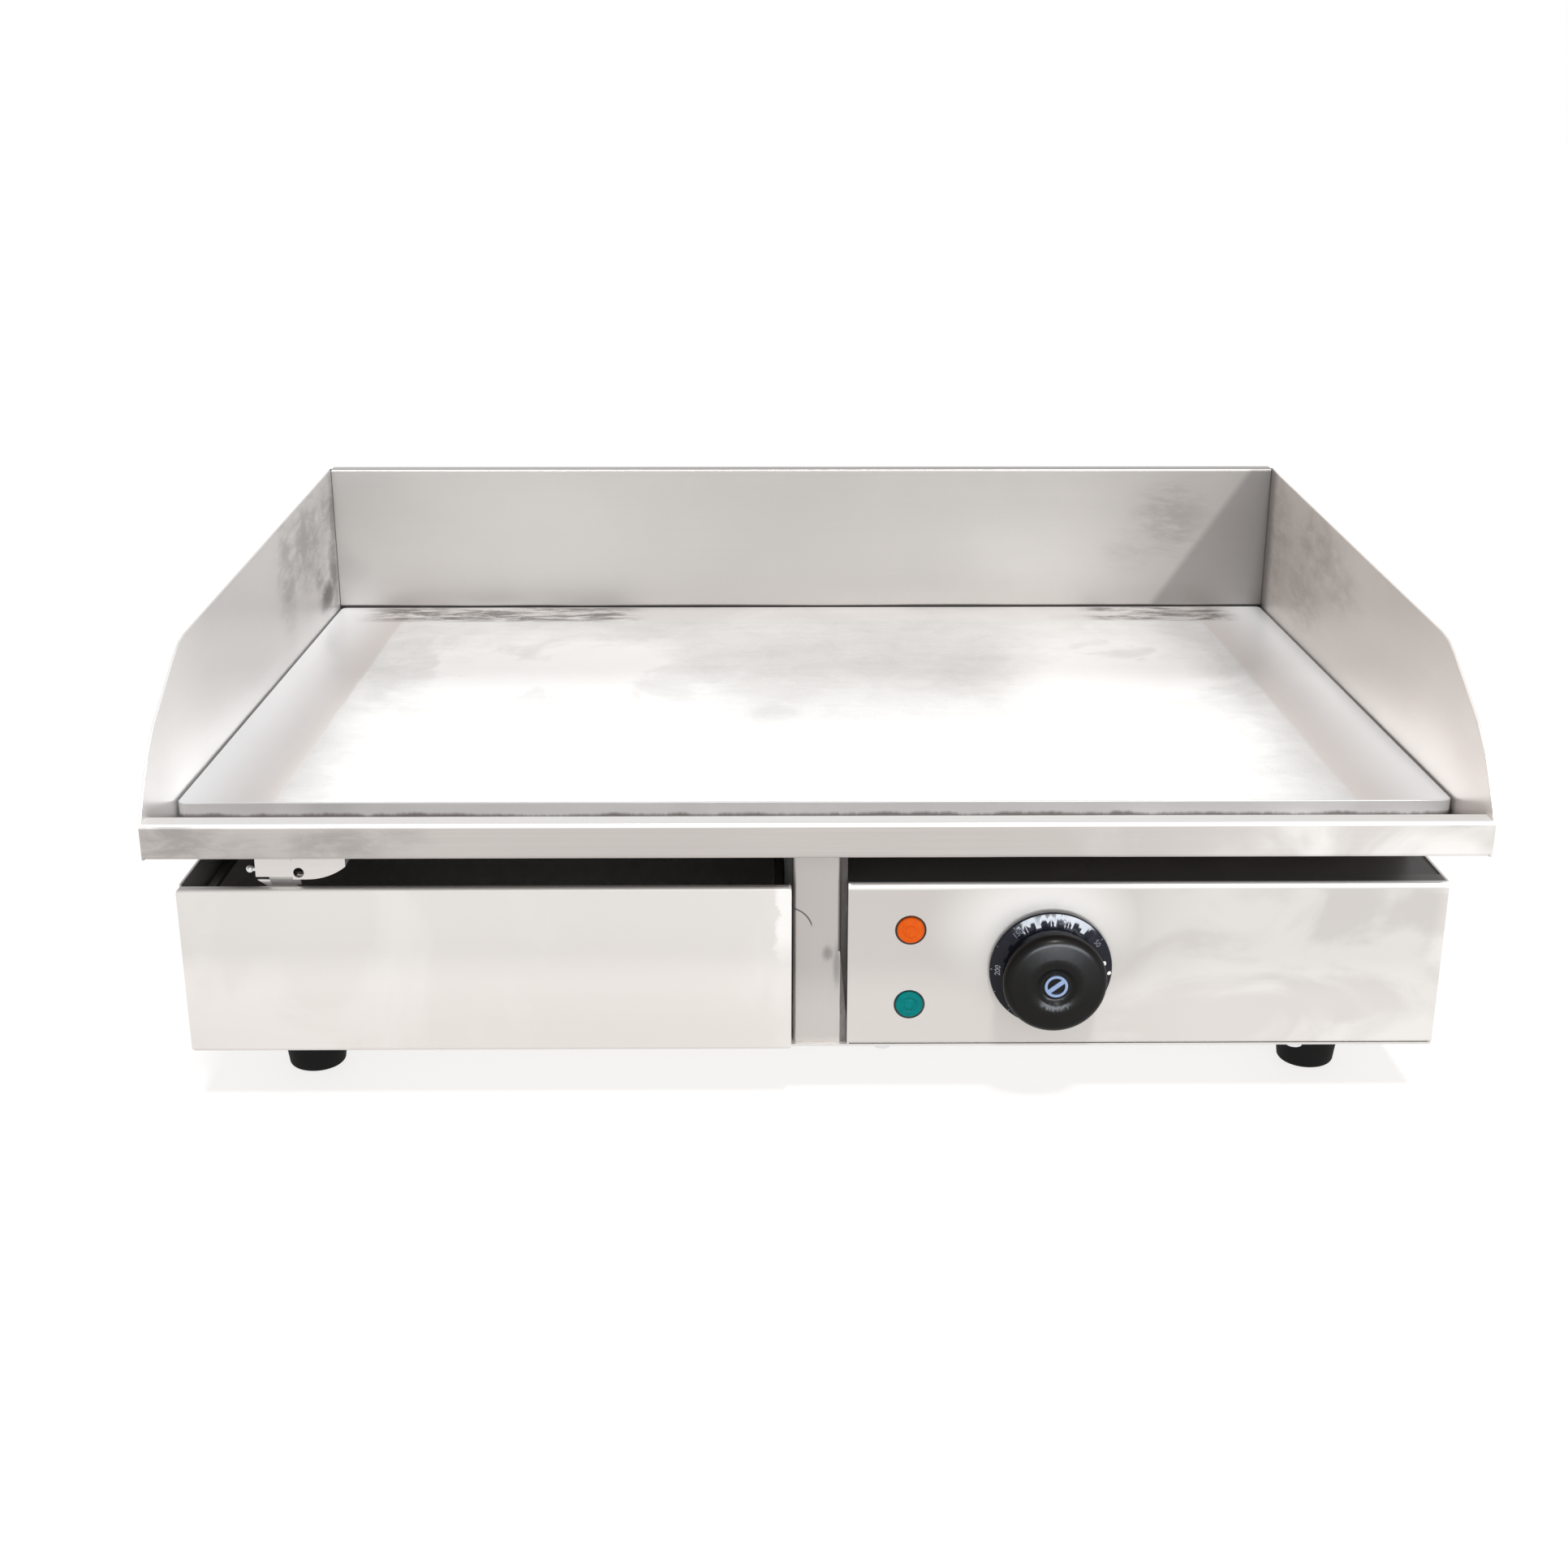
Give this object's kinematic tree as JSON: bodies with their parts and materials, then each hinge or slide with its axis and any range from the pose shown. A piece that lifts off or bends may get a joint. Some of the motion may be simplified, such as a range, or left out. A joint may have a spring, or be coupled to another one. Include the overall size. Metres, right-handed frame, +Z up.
{
  "type": "electric griddle",
  "caption": "Counter-top electric griddle: flat steel plate with front grease gutter and splash guards, over a sheet-metal case with a grease drawer, thermostat knob and pilot lamps.",
  "frame": {"origin": "middle of the footprint, on the surface that the feet stand on; the footprint runs from the front apron to the outer end of the cable gland", "axes": "+X to the right seen from the front, +Y towards the back splash, +Z up"},
  "size_m": [0.55, 0.43, 0.225],
  "materials": {
    "stainless": "satin",
    "plate_steel": "satin, lightly scratched",
    "dark_steel": "satin",
    "galvanised": "dull",
    "zinc": "satin",
    "element_sheath": "heat-darkened",
    "ceramic": "matte",
    "mineral_wool": "fibrous",
    "brass": "satin",
    "copper": "satin",
    "chrome": "polished",
    "bakelite": "satin gloss",
    "dial_black": "gloss",
    "orange_lens": "gloss",
    "green_lens": "gloss",
    "white_plastic": "matte",
    "black_plastic": "matte",
    "wire": "matte",
    "rubber": "matte"
  },
  "bodies": {
    "casing": {"griddle_plate": "plate_steel", "plate_studs": "zinc", "clamp_nuts": "zinc", "element_clamp": "zinc", "heating_element_front": "element_sheath", "heating_element_middle": "element_sheath", "heating_element_rear": "element_sheath", "element_insulators": "ceramic", "element_links": "brass", "insulation_blanket": "mineral_wool", "heat_pan": "galvanised", "recess_wall": "dark_steel", "front_gutter": "stainless", "plate_ledge_left": "galvanised", "plate_ledge_right": "galvanised", "plate_ledge_rear": "galvanised", "left_guard": "stainless", "right_guard": "stainless", "back_splash": "stainless", "drain_chute": "stainless", "chute_pin": "zinc", "left_side_panel": "stainless", "right_side_panel": "stainless", "rear_panel": "stainless", "base_pan": "stainless", "centre_post": "stainless", "bay_divider": "galvanised", "control_panel": "stainless", "control_cover": "dark_steel", "drawer_runner_left": "galvanised", "drawer_runner_right": "galvanised", "thermostat_body": "zinc", "thermostat_screws": "zinc", "capillary_tube": "copper", "sensor_bulb": "copper", "bulb_clips": "zinc", "orange_lens": "orange_lens", "green_lens": "green_lens", "lamp_bodies": "white_plastic", "lamp_clips": "zinc", "thermal_cutout": "ceramic", "terminal_block": "white_plastic", "terminal_screws": "brass", "cable_gland": "black_plastic", "gland_locknut": "black_plastic", "bond_stud": "brass", "bond_nut": "zinc", "control_wires": "wire", "rubber_feet": "rubber", "foot_screws": "zinc", "foot_nuts": "zinc", "rear_screws": "zinc", "base_screws": "zinc"},
    "drawer": {"drawer_front": "stainless", "drawer_pan": "stainless"},
    "knob": {"knob_grip": "bakelite", "knob_dial": "dial_black", "knob_insert": "chrome", "thermostat_shaft": "brass"}
  },
  "joints": [
    {"name": "drawer_slide", "type": "slide", "parent": "casing", "child": "drawer", "axis": [0, -1, 0], "range_m": [0, 0.22]},
    {"name": "knob_turn", "type": "hinge", "parent": "casing", "child": "knob", "pos_m": [0.103, -0.172, 0.0663], "axis": [0, 1, 0], "range_deg": [0, 290]}
  ]
}
